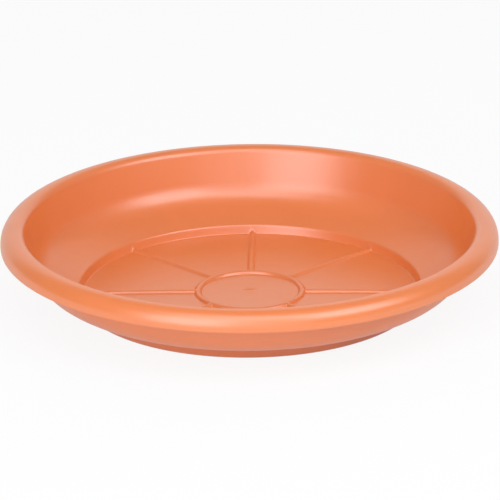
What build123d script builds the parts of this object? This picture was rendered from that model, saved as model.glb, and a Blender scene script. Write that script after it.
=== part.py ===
"""Round plant saucer, moulded in one piece.

A shell of even thickness runs from a slightly crowned floor up a small rounded step, out along
a shallow lower wall, round a bend, up a steep upper wall and over a rim that rolls outwards and
down. A half-round ring and half-round ribs on the floor lift a pot clear of the water.

Millimetres. The origin is the centre of the base, on the surface that the saucer stands on.
+Z is up, and one rib points along +X.
"""

import os
from math import cos, radians, sin, sqrt, tan

from build123d import *

# Overall size
outer_diameter = 300.0
overall_height = 45.9
wall = 2.0

# Floor: its edge is inside, where the faces of floor and step would meet
wall_spread = 48.6  # from the floor's edge out to the rim
floor_thickness = 2.0
floor_crown = 1.0
foot_ring_width = 7.5  # from the floor's edge in to where the base is crowned clear of the ground

# Step between the floor and the lower wall
step_height = 5.2
step_run = 1.7
step_foot_radius = 0.6
step_top_radius = 2.0

# Wall: angles above the horizontal, and the inside radius of the bend
lower_wall_angle = 21.3
upper_wall_angle = 72.5
bend_radius = 19.5

# Rim: an outward roll that ends in a straight lip, open below as a finger grip
roll_radius = 9.3
rim_flat = 0.4
groove_radius = 3.0
lip_length = 2.5

# Raised ring and ribs on the floor
ring_radius = 31.4
ring_width = 4.2
ring_height = 1.9
rib_count = 8
rib_width = 4.2
rib_drop = 0.3  # from the ring's crest down to the crest of a rib

# Low dome left by the moulding gate at the centre
gate_diameter = 8.6
gate_height = 0.6

# Depth by which ring, ribs and gate mark are rooted in the floor
bead_root = floor_thickness / 4


def wall_direction(angle):
    """Unit vector up the wall, in the plane of the section."""
    return Vector(cos(radians(angle)), sin(radians(angle)))


def outward(direction):
    """Unit vector square to a wall direction, on the outside of the shell."""
    return Vector(direction.Y, -direction.X)


def outside_corner(corner, direction_below, direction_above):
    """Corner on the outside of the shell, one wall thickness from both of the inside faces."""
    below = outward(direction_below)
    above = outward(direction_above)
    return corner + (below + above) * (wall / (1 + below.dot(above)))


# Directions of the faces in the section
lower_direction = wall_direction(lower_wall_angle)
upper_direction = wall_direction(upper_wall_angle)
step_direction = Vector(step_run, step_height).normalized()

# Inside corners, from the centre outwards, before rounding
outer_radius = outer_diameter / 2
floor_radius = outer_radius - wall_spread
half_angle_tangent = tan(radians(upper_wall_angle) / 2)
rim_inner_radius = groove_radius + wall
wall_top_radius = outer_radius - roll_radius - rim_flat - rim_inner_radius * half_angle_tangent
floor_centre = Vector(0, floor_thickness + floor_crown)
step_foot = Vector(floor_radius, floor_thickness)
step_top = step_foot + Vector(step_run, step_height)
wall_top = Vector(wall_top_radius, overall_height)

# The bend's corner is where the lower wall's line meets the upper wall's line
span = wall_top - step_top
lower_length = span.dot(outward(upper_direction)) / lower_direction.dot(outward(upper_direction))
bend = step_top + lower_direction * lower_length

# Rim and lip corners
rim_corner = Vector(outer_radius, overall_height)
lip_outer = rim_corner - Vector(0, roll_radius + lip_length)
lip_inner = lip_outer - Vector(wall, 0)
roll_inside = rim_corner - Vector(wall, wall)
groove_top = Vector(wall_top_radius + wall * half_angle_tangent, overall_height - wall)
lip_edge_radius = min(0.4 * wall, lip_length / 2)

# Outside corners, from the rim back to the centre
bend_outside = outside_corner(bend, lower_direction, upper_direction)
step_outside = outside_corner(step_top, step_direction, lower_direction)
foot_corner = step_outside - step_direction * (step_outside.Y / step_direction.Y)
foot_ring_inner = Vector(floor_radius - foot_ring_width, 0)
base_centre = Vector(0, floor_crown)

# The crown of the floor is an arc about the saucer's axis
crown_radius = (floor_radius**2 + floor_crown**2) / (2 * floor_crown)


def floor_height(radius):
    """Height of the crowned floor at a distance from the saucer's axis."""
    return floor_centre.Y - crown_radius + sqrt(crown_radius**2 - radius**2)


def bead_section(width, height):
    """Section of a raised bead: a round top whose flanks carry on down into the floor."""
    round_radius = ((width / 2) ** 2 + height**2) / (2 * height)
    root_half_width = sqrt(round_radius**2 - (round_radius - height - bead_root) ** 2)
    with BuildSketch() as section:
        with BuildLine():
            ThreePointArc((-root_half_width, -bead_root), (0, height), (root_half_width, -bead_root))
            Line((root_half_width, -bead_root), (-root_half_width, -bead_root))
        make_face()
    return section.sketch


ring_section = bead_section(ring_width, ring_height)
rib_section = bead_section(rib_width, ring_height - rib_drop)

# One rib, along +X, follows the crown from the ring to the step and ends inside the step's wall
rib_end_radius = floor_radius + step_run / 2
rib_start = (ring_radius, floor_height(ring_radius))
rib_end = (rib_end_radius, floor_height(rib_end_radius))
crown_slope = (sqrt(crown_radius**2 - ring_radius**2), -ring_radius)

with BuildPart() as rib:
    with BuildLine(Plane.XZ) as rib_path:
        TangentArc(rib_start, rib_end, tangent=crown_slope)
    with BuildSketch(Plane(rib_path.line @ 0, x_dir=(0, 1, 0), z_dir=rib_path.line % 0)):
        add(rib_section)
    sweep(path=rib_path.line)

# The gate mark is the top of a sphere, whose flank carries on down into the floor
gate_sphere_radius = ((gate_diameter / 2) ** 2 + gate_height**2) / (2 * gate_height)

with BuildPart() as gate_mark:
    with Locations((0, 0, floor_centre.Y + gate_height - gate_sphere_radius)):
        Sphere(gate_sphere_radius)
    split(bisect_by=Plane.XY.offset(floor_centre.Y - bead_root), keep=Keep.TOP)

# The turned faces start and end half way between two ribs, so no rib crosses their seam
half_step = radians(180 / rib_count)
section_plane = Plane(
    origin=(0, 0, 0),
    x_dir=(cos(half_step), sin(half_step), 0),
    z_dir=(sin(half_step), -cos(half_step), 0),
)

with BuildPart() as saucer:
    # The shell with its raised ring, turned about the saucer's axis
    with BuildSketch(section_plane) as shell:
        with BuildLine():
            TangentArc(floor_centre, step_foot, tangent=(1, 0))
            Polyline(
                step_foot,
                step_top,
                bend,
                wall_top,
                rim_corner,
                lip_outer,
                lip_inner,
                roll_inside,
                groove_top,
                bend_outside,
                step_outside,
                foot_corner,
                foot_ring_inner,
            )
            TangentArc(base_centre, foot_ring_inner, tangent=(1, 0))
            Line(base_centre, floor_centre)
        make_face()
        rounded_corners = [
            (step_foot, step_foot_radius),
            (step_top, step_top_radius),
            (bend, bend_radius),
            (wall_top, rim_inner_radius),
            (rim_corner, roll_radius),
            (lip_outer, lip_edge_radius),
            (lip_inner, lip_edge_radius),
            (roll_inside, roll_radius - wall),
            (groove_top, groove_radius),
            (bend_outside, bend_radius + wall),
            (foot_corner, step_foot_radius + wall),
        ]
        for corner, radius in rounded_corners:
            fillet(shell.vertices().sort_by_distance(corner)[0], radius)
        with Locations((ring_radius, floor_height(ring_radius))):
            add(ring_section)
    revolve(axis=Axis.Z)

    # The raised ribs and the gate mark
    with PolarLocations(0, rib_count):
        add(rib.part)
    add(gate_mark.part)

saucer.part.label = "saucer"

os.makedirs("parts", exist_ok=True)
export_step(saucer.part, "parts/saucer.step")
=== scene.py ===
"""Terracotta-coloured plastic plant saucer on a white studio floor.

The saucer is one moulding, so the scene has one piece: a turned shell whose floor carries a raised
ring, raised ribs and the mark of the moulding gate. Lengths are in metres.
"""

from math import acos, ceil, cos, hypot, pi, radians, sin, sqrt, tan

import bpy
from mathutils import Matrix, Vector


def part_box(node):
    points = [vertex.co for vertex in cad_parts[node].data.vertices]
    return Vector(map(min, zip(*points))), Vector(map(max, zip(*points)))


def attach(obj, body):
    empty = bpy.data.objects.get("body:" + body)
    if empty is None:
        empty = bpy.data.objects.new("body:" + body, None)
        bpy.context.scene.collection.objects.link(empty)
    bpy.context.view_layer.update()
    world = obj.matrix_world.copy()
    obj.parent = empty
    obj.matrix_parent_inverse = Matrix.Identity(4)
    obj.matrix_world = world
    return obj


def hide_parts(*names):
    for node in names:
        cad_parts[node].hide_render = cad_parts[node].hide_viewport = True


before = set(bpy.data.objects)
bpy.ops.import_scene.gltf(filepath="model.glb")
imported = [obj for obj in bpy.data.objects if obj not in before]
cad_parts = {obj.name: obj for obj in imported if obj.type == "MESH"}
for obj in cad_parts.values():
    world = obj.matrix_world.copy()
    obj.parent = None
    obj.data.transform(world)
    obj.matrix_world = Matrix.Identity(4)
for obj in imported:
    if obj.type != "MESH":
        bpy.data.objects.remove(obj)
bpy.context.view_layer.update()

MM = 0.001

# Overall size, from the frame
low_corner, high_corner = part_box("saucer")
OUTER_RADIUS = (high_corner[0] - low_corner[0]) / 2
HEIGHT = high_corner[2] - low_corner[2]
WALL = 2.0 * MM

# Floor and step
WALL_SPREAD = 48.6 * MM  # from the floor's edge out to the rim
FLOOR_RADIUS = OUTER_RADIUS - WALL_SPREAD
FLOOR_THICKNESS = 2.0 * MM
FLOOR_CROWN = 1.0 * MM
FOOT_RING_WIDTH = 7.5 * MM
STEP_HEIGHT = 5.2 * MM
STEP_RUN = 1.7 * MM
STEP_FOOT_RADIUS = 0.6 * MM
STEP_TOP_RADIUS = 2.0 * MM
STEP_OUTSIDE_RADIUS = 0.6 * MM

# Wall and rim
LOWER_WALL_ANGLE = radians(21.3)
UPPER_WALL_ANGLE = radians(72.5)
BEND_RADIUS = 19.5 * MM
ROLL_RADIUS = 9.3 * MM
RIM_FLAT = 0.4 * MM
GROOVE_RADIUS = 3.0 * MM
LIP_LENGTH = 2.5 * MM
LIP_EDGE_RADIUS = 0.8 * MM

# Raised ring and ribs: half-round beads whose flanks flare into the floor
RING_RADIUS = 31.4 * MM
RING_HEIGHT = 1.9 * MM
RIB_COUNT = 8
RIB_HEIGHT = 1.6 * MM
HALF_PITCH = pi / RIB_COUNT  # angle from a rib to half way to the next one
BEAD_WIDTH = 4.2 * MM
FLANK_SLOPE = 2.2
BLEND = 0.5 * MM  # difference in height below which two forms run into each other

# Low dome left by the moulding gate
GATE_RADIUS = 4.3 * MM
GATE_HEIGHT = 0.6 * MM

# Fineness of the mesh along the section
ARC_STEP = radians(6.5)
SMALL_ARC_STEP = radians(15)  # on arcs below the small radius
SMALL_RADIUS = 1.0 * MM
STRAIGHT_STEP = 7.0 * MM
SUPPORT = 0.8 * MM  # from an arc's end to the first point on the straight beside it

# Fineness of the floor, whose rows are close together on the gate mark and on the ring
FLOOR_EDGE = FLOOR_RADIUS - 2 * STEP_FOOT_RADIUS  # where the floor's own rows end
FLOOR_STEP = 4.0 * MM
GATE_REACH = 1.3 * GATE_RADIUS
GATE_STEP = GATE_RADIUS / 8
RING_REACH = 0.8 * BEAD_WIDTH
RING_STEP = 0.22 * MM

# Fineness round the axis, from the crest of a rib outwards
CREST_REACH = radians(1.5)
CREST_STEP = radians(0.21)
FLANK_REACH = radians(4.5)
FLANK_STEP = radians(0.5)
COLUMN_STEP = radians(1.5)

# Plastic: the two shades that it varies between, its gloss and its slightly uneven skin
DARK_COLOUR = (0.775, 0.195, 0.042, 1)
PALE_COLOUR = (0.815, 0.209, 0.048, 1)
MOTTLE_SHARE = 0.6  # of the change in shade
STREAK_SHARE = 0.4
STREAK_DRIFT = 6.0  # shift of the streaks' noise per metre along them
PLASTIC_IOR = 1.62
PLASTIC_SPECULAR = 1.0
LOW_ROUGHNESS = 0.285
HIGH_ROUGHNESS = 0.345
WAVE_STRENGTH = 0.25
WAVE_DEPTH = 0.12 * MM
GRAIN_STRENGTH = 0.08
GRAIN_DEPTH = 0.02 * MM

# Values between which nearly all of a noise texture lies
NOISE_LOW = 0.2
NOISE_HIGH = 0.8

# Camera, fitted to the outlines in the photograph
CAMERA_AZIMUTH = radians(1.1)
CAMERA_ELEVATION = radians(20.75)
CAMERA_ROLL = radians(-0.6)
CAMERA_DISTANCE = 5.0
CAMERA_TARGET = Vector((0.25, 0.0, 29.78)) * MM
LENS_MM = 597.6
SENSOR_MM = 36.0

# Studio floor, just below the saucer's foot so that the two don't share a plane
FLOOR_SIZE = 40.0
FLOOR_GAP = 0.05 * MM
FLOOR_COLOUR = (0.85, 0.85, 0.85, 1)
FLOOR_ROUGHNESS = 0.9
FLOOR_WHITE = 0.9  # share of plain white where the floor is looked at
UNDER_WHITE = 0.6  # part of that share which reflections see under the saucer

# Studio light: a pale backdrop behind the saucer, dim light from all round, and slightly cool lamps
BACKDROP_LIGHT = 0.95
BACKDROP_EDGE = radians(51)  # from straight behind to where the backdrop has faded out
BACKDROP_FULL = radians(39)  # from straight behind to where it starts to fade
DIM_LIGHT = 0.33
LAMP_COLOUR = (1.0, 1.0, 1.06)


def outward(direction):
    """Square to a direction up the wall, on the outside of the shell."""
    return Vector((direction.y, -direction.x))


def outside_corner(corner, direction_below, direction_above):
    """Corner on the outside of the shell, one wall thickness from both of the inside faces."""
    below = outward(direction_below)
    above = outward(direction_above)
    return corner + (below + above) * (WALL / (1 + below.dot(above)))


def crown(radius, centre_height, edge_radius):
    """Height of a crowned face that drops by the crown from the axis to its edge."""
    curve = (edge_radius**2 + FLOOR_CROWN**2) / (2 * FLOOR_CROWN)
    return centre_height - curve + sqrt(curve**2 - radius**2)


def floor_height(radius):
    """Height of the plain floor at a distance from the axis."""
    return crown(radius, FLOOR_THICKNESS + FLOOR_CROWN, FLOOR_RADIUS)


def shell_corners():
    """Corners of the shell's section, each with the radius that rounds it.

    They run from the floor's edge up the inside, over the rim and down the outside to the foot ring.
    """
    lower = Vector((cos(LOWER_WALL_ANGLE), sin(LOWER_WALL_ANGLE)))
    upper = Vector((cos(UPPER_WALL_ANGLE), sin(UPPER_WALL_ANGLE)))
    riser = Vector((STEP_RUN, STEP_HEIGHT)).normalized()
    half_tangent = tan(UPPER_WALL_ANGLE / 2)
    rim_inner_radius = GROOVE_RADIUS + WALL
    wall_top_radius = OUTER_RADIUS - ROLL_RADIUS - RIM_FLAT - rim_inner_radius * half_tangent

    floor_end = Vector((FLOOR_EDGE, floor_height(FLOOR_EDGE)))
    step_foot = Vector((FLOOR_RADIUS, FLOOR_THICKNESS))
    step_top = step_foot + Vector((STEP_RUN, STEP_HEIGHT))
    wall_top = Vector((wall_top_radius, HEIGHT))
    span = wall_top - step_top
    bend = step_top + lower * (span.dot(outward(upper)) / lower.dot(outward(upper)))
    rim_corner = Vector((OUTER_RADIUS, HEIGHT))
    lip_outer = rim_corner - Vector((0, ROLL_RADIUS + LIP_LENGTH))
    lip_inner = lip_outer - Vector((WALL, 0))
    roll_inside = rim_corner - Vector((WALL, WALL))
    groove_top = Vector((wall_top_radius + WALL * half_tangent, HEIGHT - WALL))
    bend_outside = outside_corner(bend, lower, upper)
    step_outside = outside_corner(step_top, riser, lower)
    foot_corner = step_outside - riser * (step_outside.y / riser.y)
    foot_inner = Vector((FLOOR_RADIUS - FOOT_RING_WIDTH, 0))

    return [
        (floor_end, 0),
        (step_foot, STEP_FOOT_RADIUS),
        (step_top, STEP_TOP_RADIUS),
        (bend, BEND_RADIUS),
        (wall_top, rim_inner_radius),
        (rim_corner, ROLL_RADIUS),
        (lip_outer, LIP_EDGE_RADIUS),
        (lip_inner, LIP_EDGE_RADIUS),
        (roll_inside, ROLL_RADIUS - WALL),
        (groove_top, GROOVE_RADIUS),
        (bend_outside, BEND_RADIUS + WALL),
        (step_outside, STEP_OUTSIDE_RADIUS),
        (foot_corner, STEP_FOOT_RADIUS + WALL),
        (foot_inner, 0),
    ]


def rounded(before, corner, after, radius):
    """Points along the arc that rounds a corner of the outline."""
    incoming = (corner - before).normalized()
    outgoing = (after - corner).normalized()
    turn = acos(max(-1.0, min(1.0, incoming.dot(outgoing))))
    side = 1 if incoming.cross(outgoing) > 0 else -1
    inward = Vector((-incoming.y, incoming.x)) * side
    centre = corner - incoming * radius * tan(turn / 2) + inward * radius
    arc_step = SMALL_ARC_STEP if radius < SMALL_RADIUS else ARC_STEP
    steps = ceil(turn / arc_step)
    angles = [turn * step / steps for step in range(steps + 1)]
    return [centre + (incoming * sin(angle) - inward * cos(angle)) * radius for angle in angles]


def straight(start, end):
    """Points between two arcs: one close to each end, which keeps shading flat, and even ones between."""
    length = (end - start).length
    direction = (end - start) / length
    margin = min(SUPPORT, length / 3)
    count = max(1, round((length - 2 * margin) / STRAIGHT_STEP))
    places = [margin + (length - 2 * margin) * step / count for step in range(count + 1)]
    return [start + direction * place for place in places]


def spread(start, end, step):
    """Even values from start up to, but not with, end."""
    count = max(1, round((end - start) / step))
    return [start + (end - start) * index / count for index in range(count)]


def floor_radii():
    """Distances from the axis at which the floor has a row of points."""
    ring_inside = RING_RADIUS - RING_REACH
    ring_outside = RING_RADIUS + RING_REACH
    radii = spread(0, GATE_REACH, GATE_STEP)
    radii += spread(GATE_REACH, ring_inside, FLOOR_STEP)
    radii += spread(ring_inside, ring_outside, RING_STEP)
    radii += spread(ring_outside, FLOOR_EDGE, FLOOR_STEP)
    return radii


def saucer_outline():
    """Section of the shell from the middle of its floor round the rim to the middle of its base."""
    corners = shell_corners()
    floor_end = corners[0][0]
    foot_inner = corners[-1][0]
    points = [Vector((radius, floor_height(radius))) for radius in floor_radii()]
    points.append(floor_end)
    for before, (corner, radius), after in zip(corners, corners[1:], corners[2:]):
        arc = rounded(before[0], corner, after[0], radius)
        points += straight(points[-1], arc[0])
        points += arc
    points += straight(points[-1], foot_inner)
    points.append(foot_inner)
    for radius in reversed(spread(0, foot_inner.x, STRAIGHT_STEP)):
        points.append(Vector((radius, crown(radius, FLOOR_CROWN, foot_inner.x))))
    return points


def column_angles():
    """Angles round the axis at which the shell has a column of points, close together on each rib."""
    half = spread(0, CREST_REACH, CREST_STEP)
    half += spread(CREST_REACH, FLANK_REACH, FLANK_STEP)
    half += spread(FLANK_REACH, HALF_PITCH, COLUMN_STEP)
    one_rib = [-angle for angle in reversed(half[1:])] + half + [HALF_PITCH]
    return [2 * HALF_PITCH * rib + angle for rib in range(RIB_COUNT) for angle in one_rib]


def bead_height(offset, height):
    """Height of a half-round bead at a distance from its crest line, with straight flared flanks."""
    curve = ((BEAD_WIDTH / 2) ** 2 + height**2) / (2 * height)
    flank_start = curve * FLANK_SLOPE / sqrt(1 + FLANK_SLOPE**2)
    distance = abs(offset)
    on_round = min(distance, flank_start)
    return sqrt(curve**2 - on_round**2) - curve + height - FLANK_SLOPE * (distance - on_round)


def gate_mark_height(radius):
    """Height of the gate mark's dome. Outside it, the dome's curve goes on below the floor."""
    curve = (GATE_RADIUS**2 + GATE_HEIGHT**2) / (2 * GATE_HEIGHT)
    return GATE_HEIGHT - curve + sqrt(curve**2 - min(radius, 2 * GATE_RADIUS) ** 2)


def smooth_maximum(first, second):
    """The higher of two heights, with a small moulded fillet where they meet."""
    closeness = max(BLEND - abs(first - second), 0) / BLEND
    return max(first, second) + closeness**2 * BLEND / 4


def detailed_height(point, angle):
    """Height of the inside of the shell with its ring, ribs and gate mark."""
    radius, height = point
    from_rib = (angle + HALF_PITCH) % (2 * HALF_PITCH) - HALF_PITCH
    before_ring = max(0.0, RING_RADIUS - radius * cos(from_rib))
    rib = bead_height(hypot(radius * sin(from_rib), before_ring), RIB_HEIGHT)
    ring = bead_height(radius - RING_RADIUS, RING_HEIGHT)
    detail = smooth_maximum(smooth_maximum(ring, rib), gate_mark_height(radius))
    return smooth_maximum(height, floor_height(radius) + detail)


def shell_vertices(outline, angles):
    """The middle of the floor, a circle of points for each row between, and the middle of the base."""
    radii = [point.x for point in outline]
    rim_row = radii.index(max(radii))
    vertices = [(0, 0, detailed_height(outline[0], 0))]
    for row, point in enumerate(outline[1:-1], 1):
        for angle in angles:
            height = detailed_height(point, angle) if row < rim_row else point.y
            vertices.append((point.x * cos(angle), point.x * sin(angle), height))
    vertices.append((0, 0, outline[-1].y))
    return vertices


def shell_faces(rows, columns):
    """Four-sided faces between the rows, and triangles round the middle of the floor and of the base."""
    last_row = 1 + (rows - 1) * columns
    base_centre = 1 + rows * columns
    faces = []
    for column in range(columns):
        following = (column + 1) % columns
        faces.append((0, 1 + column, 1 + following))
        for row in range(rows - 1):
            first = 1 + row * columns
            second = first + columns
            faces.append((first + column, second + column, second + following, first + following))
        faces.append((last_row + column, base_centre, last_row + following))
    return faces


def make_saucer(material):
    """The whole moulding as one closed shell."""
    outline = saucer_outline()
    angles = column_angles()
    rows = len(outline) - 2
    mesh = bpy.data.meshes.new("saucer_shell")
    mesh.from_pydata(shell_vertices(outline, angles), [], shell_faces(rows, len(angles)))
    mesh.shade_smooth()
    mesh.materials.append(material)
    piece = bpy.data.objects.new("saucer_shell", mesh)
    bpy.context.collection.objects.link(piece)
    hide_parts("saucer")
    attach(piece, "root")


def math_node(tree, operation, first, second):
    """Output of a Math node. Its inputs are other nodes' outputs or plain numbers."""
    node = tree.nodes.new("ShaderNodeMath")
    node.operation = operation
    for socket, value in zip(node.inputs, (first, second)):
        if isinstance(value, (int, float)):
            socket.default_value = value
        else:
            tree.links.new(value, socket)
    return node.outputs["Value"]


def range_node(tree, value, from_low, from_high, to_low, to_high):
    """Output of a Map Range node, held within its range."""
    node = tree.nodes.new("ShaderNodeMapRange")
    node.inputs["From Min"].default_value = from_low
    node.inputs["From Max"].default_value = from_high
    node.inputs["To Min"].default_value = to_low
    node.inputs["To Max"].default_value = to_high
    tree.links.new(value, node.inputs["Value"])
    return node.outputs["Result"]


def noise_node(tree, place, scale, detail):
    """Output of a noise texture."""
    node = tree.nodes.new("ShaderNodeTexNoise")
    node.inputs["Scale"].default_value = scale
    node.inputs["Detail"].default_value = detail
    tree.links.new(place, node.inputs["Vector"])
    return node.outputs["Fac"]


def stretched(tree, noise, low, high):
    """A noise texture's values, stretched to run from low to high."""
    return range_node(tree, noise, NOISE_LOW, NOISE_HIGH, low, high)


def bump_node(tree, height, strength, depth):
    """Bump node whose height comes from another node's output."""
    node = tree.nodes.new("ShaderNodeBump")
    node.inputs["Strength"].default_value = strength
    node.inputs["Distance"].default_value = depth
    tree.links.new(height, node.inputs["Height"])
    return node


def flow_place(tree, place):
    """Texture coordinates in which noise runs in streaks outwards from the gate."""
    link = tree.links.new
    flat = tree.nodes.new("ShaderNodeVectorMath")
    flat.operation = "MULTIPLY"
    flat.inputs[1].default_value = (1, 1, 0)
    link(place, flat.inputs[0])
    direction = tree.nodes.new("ShaderNodeVectorMath")
    direction.operation = "NORMALIZE"
    link(flat.outputs["Vector"], direction.inputs[0])
    drifting = tree.nodes.new("ShaderNodeVectorMath")
    drifting.operation = "MULTIPLY_ADD"
    drifting.inputs[1].default_value = (STREAK_DRIFT, STREAK_DRIFT, STREAK_DRIFT)
    link(place, drifting.inputs[0])
    link(direction.outputs["Vector"], drifting.inputs[2])
    return drifting.outputs["Vector"]


def make_plastic():
    """Satin terracotta-coloured plastic with faint mottling, flow streaks and fine grain."""
    material = bpy.data.materials.new("terracotta_plastic")
    material.use_nodes = True
    tree = material.node_tree
    link = tree.links.new
    shader = tree.nodes["Principled BSDF"]
    shader.inputs["IOR"].default_value = PLASTIC_IOR
    shader.inputs["Specular IOR Level"].default_value = PLASTIC_SPECULAR
    place = tree.nodes.new("ShaderNodeTexCoord").outputs["Object"]

    mottle = noise_node(tree, place, scale=28, detail=4)
    mottle = stretched(tree, mottle, -MOTTLE_SHARE, MOTTLE_SHARE)
    streaks = noise_node(tree, flow_place(tree, place), scale=9, detail=3)
    streaks = stretched(tree, streaks, -STREAK_SHARE, STREAK_SHARE)
    shade = math_node(tree, "ADD", mottle, streaks)
    colours = tree.nodes.new("ShaderNodeValToRGB")
    colours.color_ramp.elements[0].color = DARK_COLOUR
    colours.color_ramp.elements[1].color = PALE_COLOUR
    link(range_node(tree, shade, -1, 1, 0, 1), colours.inputs["Fac"])
    link(colours.outputs["Color"], shader.inputs["Base Color"])

    gloss = noise_node(tree, place, scale=60, detail=3)
    link(stretched(tree, gloss, LOW_ROUGHNESS, HIGH_ROUGHNESS), shader.inputs["Roughness"])

    # Fine grain of the mould's surface over a very faint waviness of the skin
    waviness = noise_node(tree, place, scale=70, detail=2)
    wave = bump_node(tree, waviness, WAVE_STRENGTH, WAVE_DEPTH)
    graininess = noise_node(tree, place, scale=900, detail=2)
    grain = bump_node(tree, graininess, GRAIN_STRENGTH, GRAIN_DEPTH)
    link(wave.outputs["Normal"], grain.inputs["Normal"])
    link(grain.outputs["Normal"], shader.inputs["Normal"])
    return material


def direction_from(azimuth, elevation):
    """Unit vector towards a place round the saucer: azimuth 0 is in front, 90 degrees is at the right."""
    return Vector((sin(azimuth) * cos(elevation), -cos(azimuth) * cos(elevation), sin(elevation)))


def aimed_object(name, data, azimuth, elevation, distance, roll=0):
    """Camera or lamp that looks at the camera's target from a place round the saucer."""
    aimed = bpy.data.objects.new(name, data)
    bpy.context.collection.objects.link(aimed)
    back = direction_from(azimuth, elevation)
    turn = back.to_track_quat("Z", "Y").to_matrix().to_4x4() @ Matrix.Rotation(roll, 4, "Z")
    aimed.matrix_world = Matrix.Translation(CAMERA_TARGET + back * distance) @ turn
    return aimed


def make_camera():
    """Camera with a long lens, at the photograph's viewing angle."""
    data = bpy.data.cameras.new("camera")
    data.lens = LENS_MM
    data.sensor_width = SENSOR_MM
    bpy.context.scene.camera = aimed_object(
        "camera", data, CAMERA_AZIMUTH, CAMERA_ELEVATION, CAMERA_DISTANCE, CAMERA_ROLL
    )


def looked_at(tree, mirrored_share):
    """1 where the camera looks, a given share in what the saucer mirrors, and 0 for other light."""
    rays = tree.nodes.new("ShaderNodeLightPath").outputs
    mirrored = math_node(tree, "MULTIPLY", rays["Is Glossy Ray"], mirrored_share)
    seen = math_node(tree, "MAXIMUM", rays["Is Camera Ray"], rays["Is Transmission Ray"])
    return math_node(tree, "MAXIMUM", seen, mirrored)


def make_stage():
    """Floor that is nearly plain white where it is looked at, apart from a faint shadow of the saucer.

    Reflections see the same white beyond the saucer, and more of the shaded floor under it.
    """
    bpy.ops.mesh.primitive_plane_add(size=FLOOR_SIZE, location=(0, 0, -FLOOR_GAP))
    floor = bpy.context.object
    floor.name = "studio_floor"
    material = bpy.data.materials.new("studio_floor")
    material.use_nodes = True
    tree = material.node_tree
    nodes = tree.nodes
    link = tree.links.new
    shader = nodes["Principled BSDF"]
    shader.inputs["Base Color"].default_value = FLOOR_COLOUR
    shader.inputs["Roughness"].default_value = FLOOR_ROUGHNESS
    distance = nodes.new("ShaderNodeVectorMath")
    distance.operation = "LENGTH"
    link(nodes.new("ShaderNodeTexCoord").outputs["Object"], distance.inputs[0])
    beyond = range_node(tree, distance.outputs["Value"], OUTER_RADIUS, 2 * OUTER_RADIUS, UNDER_WHITE, 1)
    white = nodes.new("ShaderNodeEmission")
    mix = nodes.new("ShaderNodeMixShader")
    link(math_node(tree, "MULTIPLY", looked_at(tree, beyond), FLOOR_WHITE), mix.inputs["Fac"])
    link(shader.outputs["BSDF"], mix.inputs[1])
    link(white.outputs["Emission"], mix.inputs[2])
    link(mix.outputs["Shader"], nodes["Material Output"].inputs["Surface"])
    floor.data.materials.append(material)


def make_world():
    """White all round for the camera, and for the saucer a pale backdrop and dim light elsewhere."""
    world = bpy.data.worlds.new("studio")
    world.use_nodes = True
    tree = world.node_tree
    nodes = tree.nodes
    link = tree.links.new
    parts = nodes.new("ShaderNodeSeparateXYZ")
    link(nodes.new("ShaderNodeTexCoord").outputs["Generated"], parts.inputs["Vector"])
    backdrop = range_node(tree, parts.outputs["Y"], cos(BACKDROP_EDGE), cos(BACKDROP_FULL), 0, 1)
    soft = range_node(tree, backdrop, 0, 1, DIM_LIGHT, BACKDROP_LIGHT)
    strength = math_node(tree, "MAXIMUM", looked_at(tree, backdrop), soft)
    link(strength, nodes["Background"].inputs["Strength"])
    nodes["Background"].inputs["Color"].default_value = (1, 1, 1, 1)
    bpy.context.scene.world = world


def make_softbox(name, azimuth, elevation, distance, width, height, radiance):
    """Rectangular lamp that faces the saucer. Angles are in degrees, and radiance 1 is plain white."""
    data = bpy.data.lights.new(name, "AREA")
    data.shape = "RECTANGLE"
    data.size = width
    data.size_y = height
    data.energy = radiance * pi * width * height
    data.color = LAMP_COLOUR
    lamp = aimed_object(name, data, radians(azimuth), radians(elevation), distance)
    lamp.visible_camera = False


def make_light():
    """A tall softbox in front at the left, a wide dim one in front, one above and one at the right."""
    make_world()
    make_softbox(
        "key_softbox", azimuth=-26, elevation=22, distance=1.5, width=0.85, height=1.25, radiance=2.0
    )
    make_softbox(
        "wide_softbox", azimuth=-12, elevation=26, distance=1.6, width=2.4, height=1.5, radiance=0.75
    )
    make_softbox(
        "top_softbox", azimuth=-12, elevation=62, distance=1.5, width=1.0, height=0.8, radiance=1.7
    )
    make_softbox(
        "right_softbox", azimuth=54, elevation=44, distance=1.5, width=1.0, height=0.95, radiance=2.75
    )


make_camera()
make_stage()
make_light()
make_saucer(make_plastic())
bpy.context.scene.view_settings.view_transform = "Standard"
